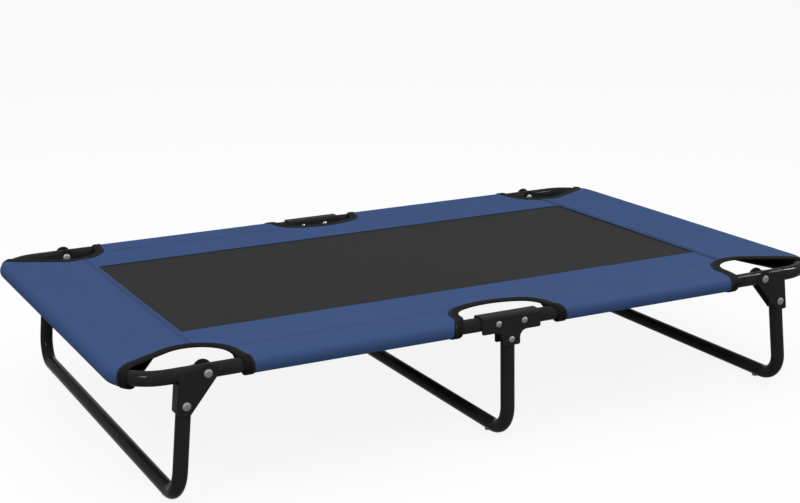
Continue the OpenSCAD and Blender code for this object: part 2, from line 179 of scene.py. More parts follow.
def lamp(name, place, aim, across, along, watts, glint=False):
    """A rectangular soft lamp at place, facing aim; a glint lamp shows only as a highlight."""
    light = bpy.data.lights.new(name, "AREA")
    light.shape = "RECTANGLE"
    light.size, light.size_y = across, along
    light.energy = watts
    holder = bpy.data.objects.new(name, light)
    scene.collection.objects.link(holder)
    holder.location = place
    holder.visible_diffuse = not glint
    holder.rotation_euler = (Vector(aim) - Vector(place)).to_track_quat("-Z", "Y").to_euler()


FRONT_LEFT, LEFT_CORNER = (-2.05, -1.67, 2.19), (-0.45, -0.37, 0.2)
FAR_RIGHT, RIGHT_CORNER = (1.92, -0.49, 1.62), (0.5, -0.37, 0.2)
lamp("overhead", (-0.2, -0.1, 3.0), (0, 0, 0.2), across=5.0, along=4.0, watts=68)
lamp("front_left", FRONT_LEFT, LEFT_CORNER, across=0.45, along=0.16, watts=15)
lamp("left_glint", FRONT_LEFT, LEFT_CORNER, across=0.45, along=0.16, watts=230, glint=True)
lamp("right_glint", FAR_RIGHT, RIGHT_CORNER, across=0.10, along=0.7, watts=170, glint=True)
lamp("front_fill", (0.9, -3.4, 1.3), (0.2, -0.4, 0.15), across=2.0, along=1.0, watts=15)


# Tube frame and legs
# Round steel tube, bent to shape and covered with satin black powder coat. Two U-shaped
# half frames meet under the saddles, and three U-shaped legs fold up under them.
def material(name):
    """A new material, a way to add nodes to it, and its main shader."""
    made = bpy.data.materials.new(name)
    made.use_nodes = True
    return made, Wire(made.node_tree), made.node_tree.nodes["Principled BSDF"]


def feed(shader, name, value):
    shader.id_data.links.new(value.socket, shader.inputs[name])


def object_place(wire):
    """The point in the piece's own axes, in metres."""
    return wire.node("ShaderNodeTexCoord", out="Object")


def axes_of(wire, place):
    """The three coordinates of a point, each as a value."""
    split = wire.node("ShaderNodeSeparateXYZ", None, {0: place})
    return [Wire(wire.tree, socket) for socket in split.socket.node.outputs]


def noise(wire, place, scale, detail=3.0, rough=0.5):
    return wire.node("ShaderNodeTexNoise", None,
                     {"Vector": place, "Scale": scale, "Detail": detail, "Roughness": rough})


def bump(wire, height, distance, strength):
    return wire.node("ShaderNodeBump", None,
                     {"Height": height, "Distance": distance, "Strength": strength})


def powder_coat(name, dark, light, rough, gloss):
    """Black coat: a fine pebbled skin, faint mottling and a few dull rubbed patches."""
    made, wire, shader = material(name)
    place = object_place(wire)
    pebbles = noise(wire, place, scale=1400, detail=2.0)
    mottle = noise(wire, place, scale=38, detail=4.0, rough=0.6)
    rubbed = ((noise(wire, place, scale=9, detail=5.0, rough=0.62) - 0.56) * 7).held()
    feed(shader, "Base Color", blend_colour(wire, mottle * 0.7 + rubbed * 0.3, dark, light))
    feed(shader, "Roughness", rough + 0.08 * mottle + 0.10 * rubbed)
    feed(shader, "Normal", bump(wire, pebbles, distance=0.0002, strength=0.08))
    shader.inputs["Specular IOR Level"].default_value = gloss
    return made


def dress(names, finish):
    """Gives whole CAD nodes one finish."""
    for name in names:
        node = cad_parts[name]
        node.data.materials.clear()
        node.data.materials.append(finish)
        for face in node.data.polygons:
            face.material_index = 0


tube_coat = powder_coat("black_tube_coat", (0.0172, 0.0172, 0.0174), (0.0262, 0.0262, 0.0265),
                        rough=0.11, gloss=0.012)
dress(["left_half_frame", "right_half_frame", "left_leg", "right_leg", "middle_leg"], tube_coat)


# Spigots in the rails
# Short lengths of bare tube that slide into both half frames under each saddle and keep the
# two side rails in line. They stay bare, with drawing marks along their length.
made, wire, shader = material("bare_spigot_steel")
stretched = wire.node("ShaderNodeMapping", None,
                      {"Vector": object_place(wire), "Scale": (12, 900, 900)})
drawn = noise(wire, stretched, scale=1.0, detail=4.0, rough=0.6)
feed(shader, "Base Color", blend_colour(wire, drawn, (0.17, 0.17, 0.175), (0.30, 0.30, 0.305)))
feed(shader, "Roughness", 0.30 + 0.22 * drawn)
feed(shader, "Normal", bump(wire, drawn, distance=0.0001, strength=0.3))
shader.inputs["Metallic"].default_value = 1.0
dress(["front_spigot", "back_spigot"], made)


# Saddles and brackets
# Pressed sheet steel in the same black coat, a little flatter in sheen than the tube. The
# saddles fold over the side rails, and the brackets hinge the end legs on their rivets.
sheet_coat = powder_coat("black_sheet_coat", (0.0175, 0.0175, 0.0177), (0.0260, 0.0260, 0.0263),
                         rough=0.36, gloss=0.01)
dress(["front_saddle", "back_saddle", "left_front_bracket", "left_back_bracket",
       "right_front_bracket", "right_back_bracket"], sheet_coat)


# Rivets
# Zinc-plated steel rivets with shallow heads. The plating is faintly spangled, and dull grey
# where hands and dirt have taken off its shine.
made, wire, shader = material("dull_zinc")
place = object_place(wire)
spangle = noise(wire, place, scale=420, detail=3.0, rough=0.6)
grime = noise(wire, place, scale=95, detail=3.0, rough=0.55)
feed(shader, "Base Color", blend_colour(wire, spangle * 0.6 + grime * 0.4,
                                        (0.092, 0.092, 0.094), (0.18, 0.18, 0.182)))
feed(shader, "Roughness", 0.42 + 0.2 * grime)
feed(shader, "Normal", bump(wire, spangle, distance=0.0002, strength=0.25))
shader.inputs["Metallic"].default_value = 0.7
dress(["saddle_rivets", "middle_pivot_rivets", "left_pivot_rivets", "right_pivot_rivets",
       "left_leg_rivets", "right_leg_rivets"], made)


# Feet
# Small moulded grey plastic studs pressed into holes under the cross tubes, with the fine
# sparked texture of their mould and a scuffed sole.
SOLE = 0.0012
made, wire, shader = material("grey_foot_plastic")
place = object_place(wire)
_, _, height = axes_of(wire, place)
grain = noise(wire, place, scale=1500, detail=2.0)
scuffs = (1 - height / SOLE).held() * noise(wire, place, scale=600, detail=3.0)
feed(shader, "Base Color", blend_colour(wire, scuffs, (0.24, 0.24, 0.245), (0.12, 0.118, 0.115)))
feed(shader, "Roughness", 0.5 + 0.25 * grain)
feed(shader, "Normal", bump(wire, grain, distance=0.0002, strength=0.3))
dress(["left_feet", "right_feet", "middle_feet"], made)


# Mesh deck
# One rectangle of coated polyester mesh, woven from stiff round yarns and heat-set, sewn along
# its edge under the blue cloth and drawn flat like a drum skin.
def grid(us, vs, place):
    """A sheet of quads over us and vs, whose corners keep their spots on the flat cloth."""
    shape = bmesh.new()
    flat = shape.verts.layers.float_vector.new("flat")
    rows = []
    for u in us:
        rows.append([shape.verts.new(place(u, v)) for v in vs])
        for corner, v in zip(rows[-1], vs):
            corner[flat] = (u, v, 0)
    for one, two in zip(rows, rows[1:]):
        for j in range(len(vs) - 1):
            shape.faces.new((one[j], two[j], two[j + 1], one[j + 1]))
    return shape


def steps(start, stop, size):
    """Even steps of about size from start to stop."""
    count = max(1, round(abs(stop - start) / size))
    return [start + (stop - start) * i / count for i in range(count + 1)]


def held(share):
    """Kept between 0 and 1."""
    return max(0.0, min(1.0, share))


def settle(piece):
    """Makes the modifiers' result the piece's own plain mesh."""
    bpy.context.view_layer.update()
    shown = piece.evaluated_get(bpy.context.evaluated_depsgraph_get())
    final = bpy.data.meshes.new_from_object(shown)
    piece.modifiers.clear()
    piece.data = final
    final.name = piece.name


def piece_of(name, shape, materials):
    """A smooth piece of that mesh, with a UV map in metres from the flat spots."""
    flat = shape.verts.layers.float_vector["flat"]
    spots = shape.loops.layers.uv.new("cut")
    for face in shape.faces:
        face.smooth = True
        for loop in face.loops:
            loop[spots].uv = loop.vert[flat].xy
    shape.verts.layers.float_vector.remove(flat)
    mesh = bpy.data.meshes.new(name)
    shape.to_mesh(mesh)
    shape.free()
    for finish in materials:
        mesh.materials.append(finish)
    piece = bpy.data.objects.new(name, mesh)
    scene.collection.objects.link(piece)
    return piece


def thicken(piece, thick, inside=0):
    """Gives a sheet its thickness, half to each side; inside is the back's material."""
    layer = piece.modifiers.new("thickness", "SOLIDIFY")
    layer.thickness = thick
    layer.offset = 0.0
    layer.use_even_offset = True
    layer.material_offset = inside
    settle(piece)
    piece.data.set_sharp_from_angle(angle=0.8)


RAIL_TOP = 0.207
OPEN_X, OPEN_Y = 0.4662, 0.219
MESH_LAP, MESH_THICK, MESH_STEP = 0.011, 0.0009, 0.0075
YARN = 0.0019
# How far below the rails' top the sewn edge lies, and how much and how soon the middle rises
EDGE_SINK, MIDDLE_RISE, RISE_RUN = 0.00055, 0.00025, 0.004
MESH_WAVE = 0.00008


def mesh_place(x, y):
    """The sewn edge lies lower, under the cloth; the middle stands a little proud."""
    rise = held(min(OPEN_X - abs(x), OPEN_Y - abs(y)) / RISE_RUN)
    ripple = MESH_WAVE * math.sin(x * 61 + 1.1) * math.sin(y * 73 + 0.4)
    return Vector((x, y, RAIL_TOP - EDGE_SINK + (MIDDLE_RISE + ripple) * rise))


dark_mesh, wire, shader = material("dark_mesh")
place = object_place(wire)
along, across, _ = axes_of(wire, place)
warp = (along * (math.pi / YARN)).sine()
weft = (across * (math.pi / YARN)).sine()
over = warp * weft
gaps = (1 - warp.size()) * (1 - weft.size())
hole = (gaps * 3.2).least(1.0) ** 1.6
fade = noise(wire, place, scale=5, detail=4.0, rough=0.6)
yarn_tone = blend_colour(wire, fade * 0.6 + over * 0.12 + 0.15, (0.0165, 0.0165, 0.0166),
                         (0.0270, 0.0270, 0.0270))
# The gaps between the yarns are painted near black: a painted shade for the dark seen through the open
# weave
feed(shader, "Base Color", blend_colour(wire, hole, yarn_tone, (0.008, 0.008, 0.008)))
feed(shader, "Roughness", 0.55 + 0.2 * hole)
feed(shader, "Normal", bump(wire, over.size() * 0.5 - hole, distance=0.0004, strength=0.5))
shader.inputs["Specular IOR Level"].default_value = 0.02

mesh_x, mesh_y = OPEN_X + MESH_LAP, OPEN_Y + MESH_LAP
mesh_grid = grid(steps(-mesh_x, mesh_x, MESH_STEP), steps(-mesh_y, mesh_y, MESH_STEP), mesh_place)
deck = piece_of("mesh_deck", mesh_grid, [dark_mesh])
thicken(deck, MESH_THICK)
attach(deck, "frame")
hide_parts("mesh_panel")


# Blue cloth panels
# Four panels of plain-woven blue polyester with a black coated back. Each is sewn to the mesh,
# runs out over its rail, wraps it and comes back under to a double row of stitches.
TUBE_R, TURN = 0.011, 0.062
HALF_LONG, HALF_WIDE = 0.610, 0.3835
RAIL_X, RAIL_Y = HALF_LONG - TUBE_R, HALF_WIDE - TUBE_R
CLOTH, CLOTH_STEP = 0.001, 0.006
SLEEVE_GAP = 0.0012
SLEEVE_IN = TUBE_R + SLEEVE_GAP
SLEEVE_R = SLEEVE_IN + CLOTH / 2
SLEEVE_Z = RAIL_TOP - SLEEVE_IN
SIDE_SEAM, END_SEAM, HEM = 0.064, 0.116, 0.010
LAYER_GAP = 0.0012
UNDER_HEIGHT = SLEEVE_R - LAYER_GAP
# The doubled edge along the mesh stands this much higher, is this wide and falls off this soon
EDGE_RISE, EDGE_WIDE, EDGE_FALL = 0.0003, 0.016, 0.004


class Section:
    """A panel's cross-section as a way along the cloth, from the mesh out and back under."""

    def __init__(self, flat, seam):
        self.flat = flat
        self.turn = math.pi + 2 * math.atan2(SLEEVE_IN, seam)
        self.tip = seam * SLEEVE_R / SLEEVE_IN
        self.low = (SLEEVE_R * math.sin(self.turn), SLEEVE_R * math.cos(self.turn))
        self.round_end = flat + SLEEVE_R * self.turn
        self.under_end = self.round_end + math.hypot(self.low[0] + self.tip,
                                                     UNDER_HEIGHT - self.low[1])
        self.length = self.under_end + HEM

    def at(self, v):
        """Distance out from the rail's axis, height over the sleeve's centre, and the way it faces."""
        if v <= self.flat:
            raised = EDGE_RISE * held((EDGE_WIDE - v) / EDGE_FALL)
            return v - self.flat, SLEEVE_R + raised, (0.0, 1.0)
        if v <= self.round_end:
            angle = (v - self.flat) / SLEEVE_R
            way = math.sin(angle), math.cos(angle)
            return SLEEVE_R * way[0], SLEEVE_R * way[1], way
        if v <= self.under_end:
            share = (v - self.round_end) / (self.under_end - self.round_end)
            return (self.low[0] - share * (self.low[0] + self.tip),
                    self.low[1] + share * (UNDER_HEIGHT - self.low[1]), (0.0, -1.0))
        return -self.tip - (v - self.under_end), UNDER_HEIGHT, (0.0, -1.0)

    def room(self, v):
        """Free depth between the cloth and the tube."""
        if v <= self.flat:
            out = v - self.flat
            return TUBE_R - math.sqrt(max(0.0, TUBE_R ** 2 - out ** 2))
        if v <= self.round_end:
            return SLEEVE_GAP * (1 - math.cos((v - self.flat) / SLEEVE_R))
        return TUBE_R

    def stops(self):
        """Steps along the cloth, finer at the mesh and round the rail."""
        edge = [0.0, 0.002, 0.004, 0.008, 0.012, EDGE_WIDE]
        return (edge + steps(EDGE_WIDE, self.flat, CLOTH_STEP)[1:]
                + steps(self.flat, self.round_end, size=0.0026)[1:]
                + steps(self.round_end, self.under_end, CLOTH_STEP)[1:]
                + steps(self.under_end, self.length, size=0.005)[1:])

    def under_z(self, out):
        """Height of the lower layer at that distance out from the rail axis."""
        share = (self.low[0] - out) / (self.low[0] + self.tip)
        return SLEEVE_Z + self.low[1] + min(1.0, share) * (UNDER_HEIGHT - self.low[1])


side_section = Section(RAIL_Y - OPEN_Y, SIDE_SEAM)
end_section = Section(RAIL_X - OPEN_X, END_SEAM)

# The cut-outs in plan: a corner's is a round with a slanted edge that runs out to the bent rail,
# and a middle one's is a shallow arch that meets a round at each shoulder
CORNER_AT, CORNER_R = Vector((RAIL_X - 0.1115, RAIL_Y - 0.028)), 0.052
SLOPE = math.radians(30)
SLOPE_WAY = Vector((math.cos(SLOPE), math.sin(SLOPE)))
SLOPE_OUT = Vector((math.sin(SLOPE), -math.cos(SLOPE)))
SHOULDER_AT, SHOULDER_R = Vector((0.0345, RAIL_Y - 0.015)), 0.038
ARCH_LOW = RAIL_Y - 0.060
arch_deep = SHOULDER_AT.y - ARCH_LOW
ARCH_R = ((SHOULDER_AT.x ** 2 + arch_deep ** 2 - SHOULDER_R ** 2)
          / (2 * (arch_deep - SHOULDER_R)))
ARCH_AT = Vector((0.0, ARCH_LOW + ARCH_R))
ARCH_EDGE = math.atan2(SHOULDER_AT.x, ARCH_AT.y - SHOULDER_AT.y)
# The straight edges of the cut-outs: half length on the deck, on the rail's outer face and at
# the seam below, and how far across they start
CORNER_LEG = (CORNER_AT.x - CORNER_R, 0.4290, 0.4245, CORNER_AT.y)
MIDDLE_LEG = (SHOULDER_AT.x + SHOULDER_R, 0.0845, 0.0895, SHOULDER_AT.y)


def eased(share):
    """From 0 to 1 with a soft start and end."""
    return share * share * (3 - 2 * share)


def leg_x(leg, v):
    """Half length of a cut-out at v along the cloth, where its edge runs round the rail."""
    deck_x, face_x, seam_x, start_y = leg
    start = side_section.flat - (RAIL_Y - start_y)
    face = side_section.flat + SLEEVE_R * math.pi / 2
    if v > face:
        return face_x + (seam_x - face_x) * (v - face) / (side_section.under_end - face)
    return deck_x + (face_x - deck_x) * eased((v - start) / (face - start))


def corner_room(x, y):
    """Distance in plan from the round or slanted edge of a corner cut-out, below zero inside."""
    gap = Vector((x, y)) - CORNER_AT
    return (gap.dot(SLOPE_OUT) if gap.dot(SLOPE_WAY) >= 0 else gap.length) - CORNER_R


def side_room(x, v):
    """Distance from the nearest cut-out's edge on a side panel, below zero inside it."""
    x, y = abs(x), RAIL_Y - side_section.flat + v
    corner = corner_room(x, y) if y < CORNER_AT.y else leg_x(CORNER_LEG, v) - x
    if y >= SHOULDER_AT.y:
        return min(corner, x - leg_x(MIDDLE_LEG, v))
    if math.atan2(x, ARCH_AT.y - y) < ARCH_EDGE:
        return min(corner, math.hypot(x, y - ARCH_AT.y) - ARCH_R)
    return min(corner, math.hypot(x - SHOULDER_AT.x, y - SHOULDER_AT.y) - SHOULDER_R)


BEND_AT = Vector((RAIL_X - TURN, RAIL_Y - TURN))


def slope_reach(w, out):
    """Where the slanted cut edge, w in, is that far out from the axis of the bent rail."""
    start = CORNER_AT + (CORNER_R + w) * SLOPE_OUT
    back = (start - BEND_AT).dot(SLOPE_WAY)
    rest = (start - BEND_AT).length_squared - (TURN + out) ** 2
    bent = start + (-back + math.sqrt(back * back - rest)) * SLOPE_WAY
    if bent.y >= BEND_AT.y:
        return bent
    return start + (RAIL_X + out - start.x) / SLOPE_WAY.x * SLOPE_WAY


# The slanted edge turns forward by this much in all, from this far before the bent rail's axis
# to the rail's outer face
FORWARD, FORWARD_RUN = 0.0115, 0.022


def forward(run):
    """How far the slanted edge has turned forward, at run along the cloth past the rail's axis."""
    return FORWARD * eased(held((run + FORWARD_RUN) / (FORWARD_RUN + SLEEVE_R * math.pi / 2)))


def bend_out(spot):
    """Distance in plan out from the axis of the bent rail."""
    gap = spot - BEND_AT
    return math.hypot(max(0.0, gap.x), max(0.0, gap.y)) - TURN


# The lower layer of an end panel is cut straight from the bent rail to its seam, which the cut
# meets this far from the cot's middle
LOWER_ACROSS = 0.216
LOWER_START = slope_reach(-FORWARD, end_section.low[0])
LOWER_END = Vector((RAIL_X - END_SEAM, LOWER_ACROSS))
lower_way = (LOWER_END - LOWER_START).normalized()
LOWER_OUT = Vector((-lower_way.y, lower_way.x))


def end_room(y, v):
    """Distance from a corner cut-out's edge on an end panel, below zero inside it."""
    spot = end_place(1)(abs(y), v)
    if v > end_section.round_end:
        return (spot.xy - LOWER_START).dot(LOWER_OUT)
    run = v - end_section.flat if v > end_section.flat else bend_out(spot.xy)
    return corner_room(spot.x, spot.y) + forward(run)


HALVINGS, WELD = 24, 0.00002


def trim(shape, room, edge):
    """Cuts a panel along its cut-outs, edge in from their line, and drops what lies inside."""
    flat = shape.verts.layers.float_vector["flat"]

    def clear(spot):
        return room(spot.x, spot.y) - edge

    rooms = {corner: clear(corner[flat]) for corner in shape.verts}
    on_line = []
    for line in list(shape.edges):
        first, second = line.verts
        if rooms[first] * rooms[second] >= 0:
            continue
        start, stop = first[flat].copy(), second[flat].copy()
        low, high = 0.0, 1.0
        for _ in range(HALVINGS):
            half = (low + high) / 2
            if clear(start.lerp(stop, half)) * rooms[first] > 0:
                low = half
            else:
                high = half
        _, point = bmesh.utils.edge_split(line, first, low)
        point[flat] = start.lerp(stop, low)
        rooms[point] = 0.0
        on_line.append(point)
    bmesh.ops.connect_verts(shape, verts=on_line)
    away = [face for face in shape.faces
            if clear(sum((c[flat] for c in face.verts), Vector()) / len(face.verts)) < 0]
    bmesh.ops.delete(shape, geom=away, context="FACES")
    bmesh.ops.remove_doubles(shape, verts=shape.verts, dist=WELD)


# Spacing of the woven threads and of the puckers along a seam, the puckers' reach to each side
# of it, and the stretch over which they fade at its ends. The puckers are a bump and a painted shade
WEAVE, PUCKER, PUCKER_HALF, PUCKER_END = 0.0008, 0.0085, 0.0034, 0.004
# The band over the rail that is painted lighter, partly as wear and partly as a painted sheen:
# its middle, past the rail's axis, and half width
WEAR_SHEEN_AT, WEAR_SHEEN_HALF = 0.012, 0.016


def blue_cloth(name, section, seams, reach):
    """Fine plain weave, slight sheen, seams drawn in and painted with shade, each reach to both sides.
    """
    made, wire, shader = material(name)
    flat = wire.node("ShaderNodeUVMap", {"uv_map": "cut"})
    along, across, _ = axes_of(wire, flat)
    place = object_place(wire)
    threads = math.pi / WEAVE
    weave = (along * threads).sine() * (across * threads).sine()
    stretched = wire.node("ShaderNodeMapping", None, {"Vector": flat, "Scale": (40, 900, 1)})
    slub = noise(wire, stretched, scale=1.0, detail=2.0)
    mottle = noise(wire, place, scale=7, detail=5.0, rough=0.6)
    nears = [(1 - (across - seam).size() / PUCKER_HALF).most(0.0) for seam in seams]
    pucker_and_seam_shade = sum(near * near for near in nears) * ((reach - along.size()) / PUCKER_END).held()
    ripple = (along * (math.tau / PUCKER)).sine() * 0.5 + noise(wire, place, scale=160, detail=2.0)
    # Over the rail a band is painted lighter: wear, and a painted sheen on the rounded cloth
    wear_and_sheen = (1 - (across - (section.flat + WEAR_SHEEN_AT)).size() / WEAR_SHEEN_HALF).most(0.0)
    tone = 0.38 + mottle * 0.34 + weave * 0.03 + slub * 0.125 + wear_and_sheen * 0.075
    # Along the seams the colour is darkened: a painted shade in the drawn-in cloth, beside the bump
    feed(shader, "Base Color", blend_colour(wire, tone - pucker_and_seam_shade * 0.6, (0.022, 0.048, 0.1285),
                                            (0.051, 0.098, 0.238)))
    feed(shader, "Roughness", 0.74 + 0.12 * mottle - 0.06 * wear_and_sheen)
    drawn_in = bump(wire, ripple * pucker_and_seam_shade, distance=0.0006, strength=0.35)
    woven = wire.node("ShaderNodeBump", None, {"Height": weave + slub * 0.8, "Distance": 0.00012,
                                               "Strength": 0.35, "Normal": drawn_in})
    feed(shader, "Normal", woven)
    shader.inputs["Specular IOR Level"].default_value = 0.02
    shader.inputs["Sheen Weight"].default_value = 0.01
    shader.inputs["Sheen Roughness"].default_value = 0.4
    return made


coated_back, wire, shader = material("coated_cloth_back")
skin = noise(wire, object_place(wire), scale=700, detail=3.0)
feed(shader, "Base Color", blend_colour(wire, skin, (0.008, 0.009, 0.013), (0.014, 0.015, 0.020)))
feed(shader, "Roughness", 0.5 + 0.2 * skin)
feed(shader, "Normal", bump(wire, skin, distance=0.0002, strength=0.3))
shader.inputs["Specular IOR Level"].default_value = 0.15

# The double rows of stitches: how far they lie from the open mesh, and how far they reach to
# both sides of the cot's middle
SIDE_ROWS = [side_section.flat - 0.0518, side_section.flat - 0.0613]
END_ROWS = [0.0043, 0.0090]
SIDE_ROW_END, END_ROW_END = 0.411, 0.33
side_cloth = blue_cloth("blue_side_cloth", side_section, SIDE_ROWS, SIDE_ROW_END)
end_cloth = blue_cloth("blue_end_cloth", end_section, END_ROWS, END_ROW_END)

# The end panels lap over the ends of the side panels. There the upper cloth stands this much
# higher and the lower one as much deeper, from these lines on and over these stretches
LAP_SHIFT = 0.0005
SIDE_LAP_AT, SIDE_LAP_RUN = OPEN_X - 0.006, 0.004
END_LAP_AT, END_LAP_RUN = 0.020, 0.006
# Height of the faint waves that are left in the taut cloth
SLACK = 0.00018


def side_place(way):
    """Where the cloth of a long side lies; way is -1 at the front and 1 at the back."""
    def place(x, v):
        out, height, _ = side_section.at(v)
        if v <= side_section.flat:
            height += SLACK * math.sin(x * 23 + way) * math.sin(out * 40)
            height -= LAP_SHIFT * held((abs(x) - SIDE_LAP_AT) / SIDE_LAP_RUN)
        return Vector((x, way * (RAIL_Y + out), SLEEVE_Z + height))
    return place


def end_place(way):
    """Where the cloth of an end lies; way is -1 at the left and 1 at the right."""
    def place(y, v):
        out, height, _ = end_section.at(v)
        lean = math.asin(held((abs(y) - RAIL_Y + TURN) / TURN))
        rail = RAIL_X - TURN + TURN * math.cos(lean)
        side = math.copysign(math.sin(lean), y)
        if v <= end_section.flat:
            x = rail + out * (rail - OPEN_X) / end_section.flat
            height += SLACK * math.sin(y * 19 + way) * math.sin(out * 34)
            height += LAP_SHIFT * held((END_LAP_AT - v) / END_LAP_RUN)
            return Vector((way * x, y, SLEEVE_Z + height))
        if v <= end_section.round_end:
            return Vector((way * (rail + out * math.cos(lean)), y + out * side, SLEEVE_Z + height))
        low_x = rail + end_section.low[0] * math.cos(lean)
        low_y = y + end_section.low[0] * side
        under = end_section.under_end - end_section.round_end
        share = min(1.0, (v - end_section.round_end) / under)
        x = low_x + share * (RAIL_X - end_section.tip - low_x) - max(0.0, v - end_section.under_end)
        return Vector((way * x, low_y + share * (y - low_y), SLEEVE_Z + height))
    return place


# The cloth is cut this far in from the cut-outs' line, where the slot of the tape ends, and its
# upper layer lies above this height
CUT_IN = 0.0006
UPPER_Z = SLEEVE_Z + SLEEVE_R - 0.0004


def cloth_panel(name, us, section, place, room, finish, node):
    """Lays a panel out, cuts it, turns its blue side up and gives it its thickness."""
    shape = grid(us, section.stops(), place)
    trim(shape, room, CUT_IN)
    upper = [face for face in shape.faces if face.calc_center_median().z > UPPER_Z]
    if sum(face.normal.z for face in upper) < 0:
        bmesh.ops.reverse_faces(shape, faces=shape.faces)
    panel = piece_of(name, shape, [finish, coated_back])
    thicken(panel, CLOTH, inside=1)
    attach(panel, "frame")
    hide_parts(node)
    us[-1] - us[0]


SIDE_HALF, END_HALF = OPEN_X + 0.003, 0.354
side_us = steps(-SIDE_HALF, SIDE_HALF, CLOTH_STEP)
end_us = steps(-END_HALF, END_HALF, CLOTH_STEP)
for way, name in ((-1, "front"), (1, "back")):
    cloth_panel(f"{name}_cloth", side_us, side_section, side_place(way), side_room, side_cloth,
                f"{name}_panel")
for way, name in ((-1, "left"), (1, "right")):
    cloth_panel(f"{name}_end_cloth", end_us, end_section, end_place(way), end_room, end_cloth,
                f"{name}_end_panel")


# Binding tape
# Black ribbed webbing tape, folded over the cut edge of every cut-out and sewn through, so
# that it grips the cloth from both sides. It follows the edge round the rail as well.
TAPE_W, RIB = 0.014, 0.0014
# The tape's rim, as distances in from the cut edge and heights over the cloth: the lip on top,
# the fold below, in shares of its depth, and the slot that takes the cloth. The tape's length is
# measured along the lip's middle corner
LIP = [(0.0140, 0.0006), (0.0140, 0.0014), (0.0131, 0.0018), (0.0108, 0.0019), (0.0070, 0.0020),
       (0.0025, 0.0020), (0.0006, 0.0018), (-0.0008, 0.0011), (-0.0014, 0.0)]
FOLD = [(-0.0008, -0.6), (0.0006, -1.0), (0.0060, -1.0), (0.0104, -0.95), (0.0112, -0.5)]
SLOT = [(0.0112, -0.0005), (0.0010, -0.0005), (0.0006, 0.0), (0.0010, 0.0005)]
LIP_MIDDLE, RIM_STEP = 4, 0.0012
# The fold is at least this deep, and up to this much deeper where the tube leaves room
FOLD_LEAST, FOLD_MORE = 0.0006, 0.0010


def on_side(leg, way, v):
    """A station of the tape on a side panel's straight edge, at v along the cloth."""
    out, height, face = side_section.at(v)

    def spot(w, lift):
        return Vector((leg_x(leg, v) + way * w, RAIL_Y + out + lift * face[0],
                       SLEEVE_Z + height + lift * face[1]))
    return spot, side_section.room(v)


def side_leg(leg, way):
    """Stations from the seam below, round the rail and up to the deck."""
    start = side_section.flat - (RAIL_Y - leg[3])
    way_up = (steps(side_section.under_end, side_section.round_end, size=0.006)
              + steps(side_section.round_end, side_section.flat, size=0.002)[1:]
              + steps(side_section.flat, start, size=0.0035)[1:])
    return [on_side(leg, way, v) for v in way_up]


def on_deck(at, room=TUBE_R):
    """A station on the deck; at(w) is its place in plan, w in from the cut edge."""
    def spot(w, lift):
        return Vector((*at(w), SLEEVE_Z + SLEEVE_R + lift))
    return spot, room


def on_ring(centre, radius, angle):
    """A station on the deck where the edge is round."""
    def at(w):
        return centre + (radius + w) * Vector((math.cos(angle), math.sin(angle)))
    return on_deck(at)


def on_slope(share):
    """A station on the straight part of the slanted edge."""
    def at(w):
        return (CORNER_AT + (CORNER_R + w) * SLOPE_OUT).lerp(slope_reach(w, -FORWARD_RUN), share)
    return on_deck(at)


def near_rail(out):
    """A station where the slanted edge turns forward, that far out from the bent rail's axis."""
    def at(w):
        return slope_reach(w - forward(out), out)
    return on_deck(at, end_section.room(end_section.flat + out))


def round_end_rail(angle):
    """A station where the slanted edge runs round the bent rail."""
    turned = forward(SLEEVE_R * angle)

    def spot(w, lift):
        radius = SLEEVE_R + lift
        reach = slope_reach(w - turned, radius * math.sin(angle))
        return Vector((*reach, SLEEVE_Z + radius * math.cos(angle)))
    return spot, SLEEVE_GAP * (1 - math.cos(angle))


def under_end(share):
    """A station on the end panel's lower edge, from the rail back to the seam."""
    def spot(w, lift):
        at = LOWER_START.lerp(LOWER_END, share) + w * LOWER_OUT
        past = max(0.0, at.y - (RAIL_Y - TURN))
        rail = RAIL_X - TURN + math.sqrt(TURN ** 2 - past ** 2)
        out = (at.x - rail) * end_section.tip / (rail - RAIL_X + end_section.tip)
        return Vector((*at, end_section.under_z(out) - lift))
    return spot, TUBE_R


def mirrored(station):
    """The same station on the other side of the cot's middle."""
    spot, room = station
    return (lambda w, lift: spot(w, lift) * Vector((-1, 1, 1))), room


def corner_stations():
    """Along the edge of a corner cut-out, from the side seam to the end seam."""
    bend = 3 * math.pi / 2 + SLOPE
    found = side_leg(CORNER_LEG, -1)
    found += [on_ring(CORNER_AT, CORNER_R, a) for a in steps(math.pi, bend, size=0.06)[1:]]
    found += [on_slope(share) for share in steps(0, 1, size=0.06)[1:]]
    found += [near_rail(out) for out in steps(-FORWARD_RUN, 0, size=0.003)[1:]]
    found += [round_end_rail(a) for a in steps(0, end_section.turn, size=0.16)[1:]]
    return found + [under_end(share) for share in steps(0.06, 1, size=0.035)]


def middle_stations():
    """Along the edge of a middle cut-out, from seam to seam over the arch."""
    crown = -math.pi / 2
    meet = crown + ARCH_EDGE
    half = side_leg(MIDDLE_LEG, 1)
    half += [on_ring(SHOULDER_AT, SHOULDER_R, a) for a in steps(0, meet, size=0.08)[1:]]
    half += [on_ring(ARCH_AT, ARCH_R, a) for a in steps(meet, crown, size=0.03)[1:]]
    return half + [mirrored(station) for station in reversed(half[:-1])]


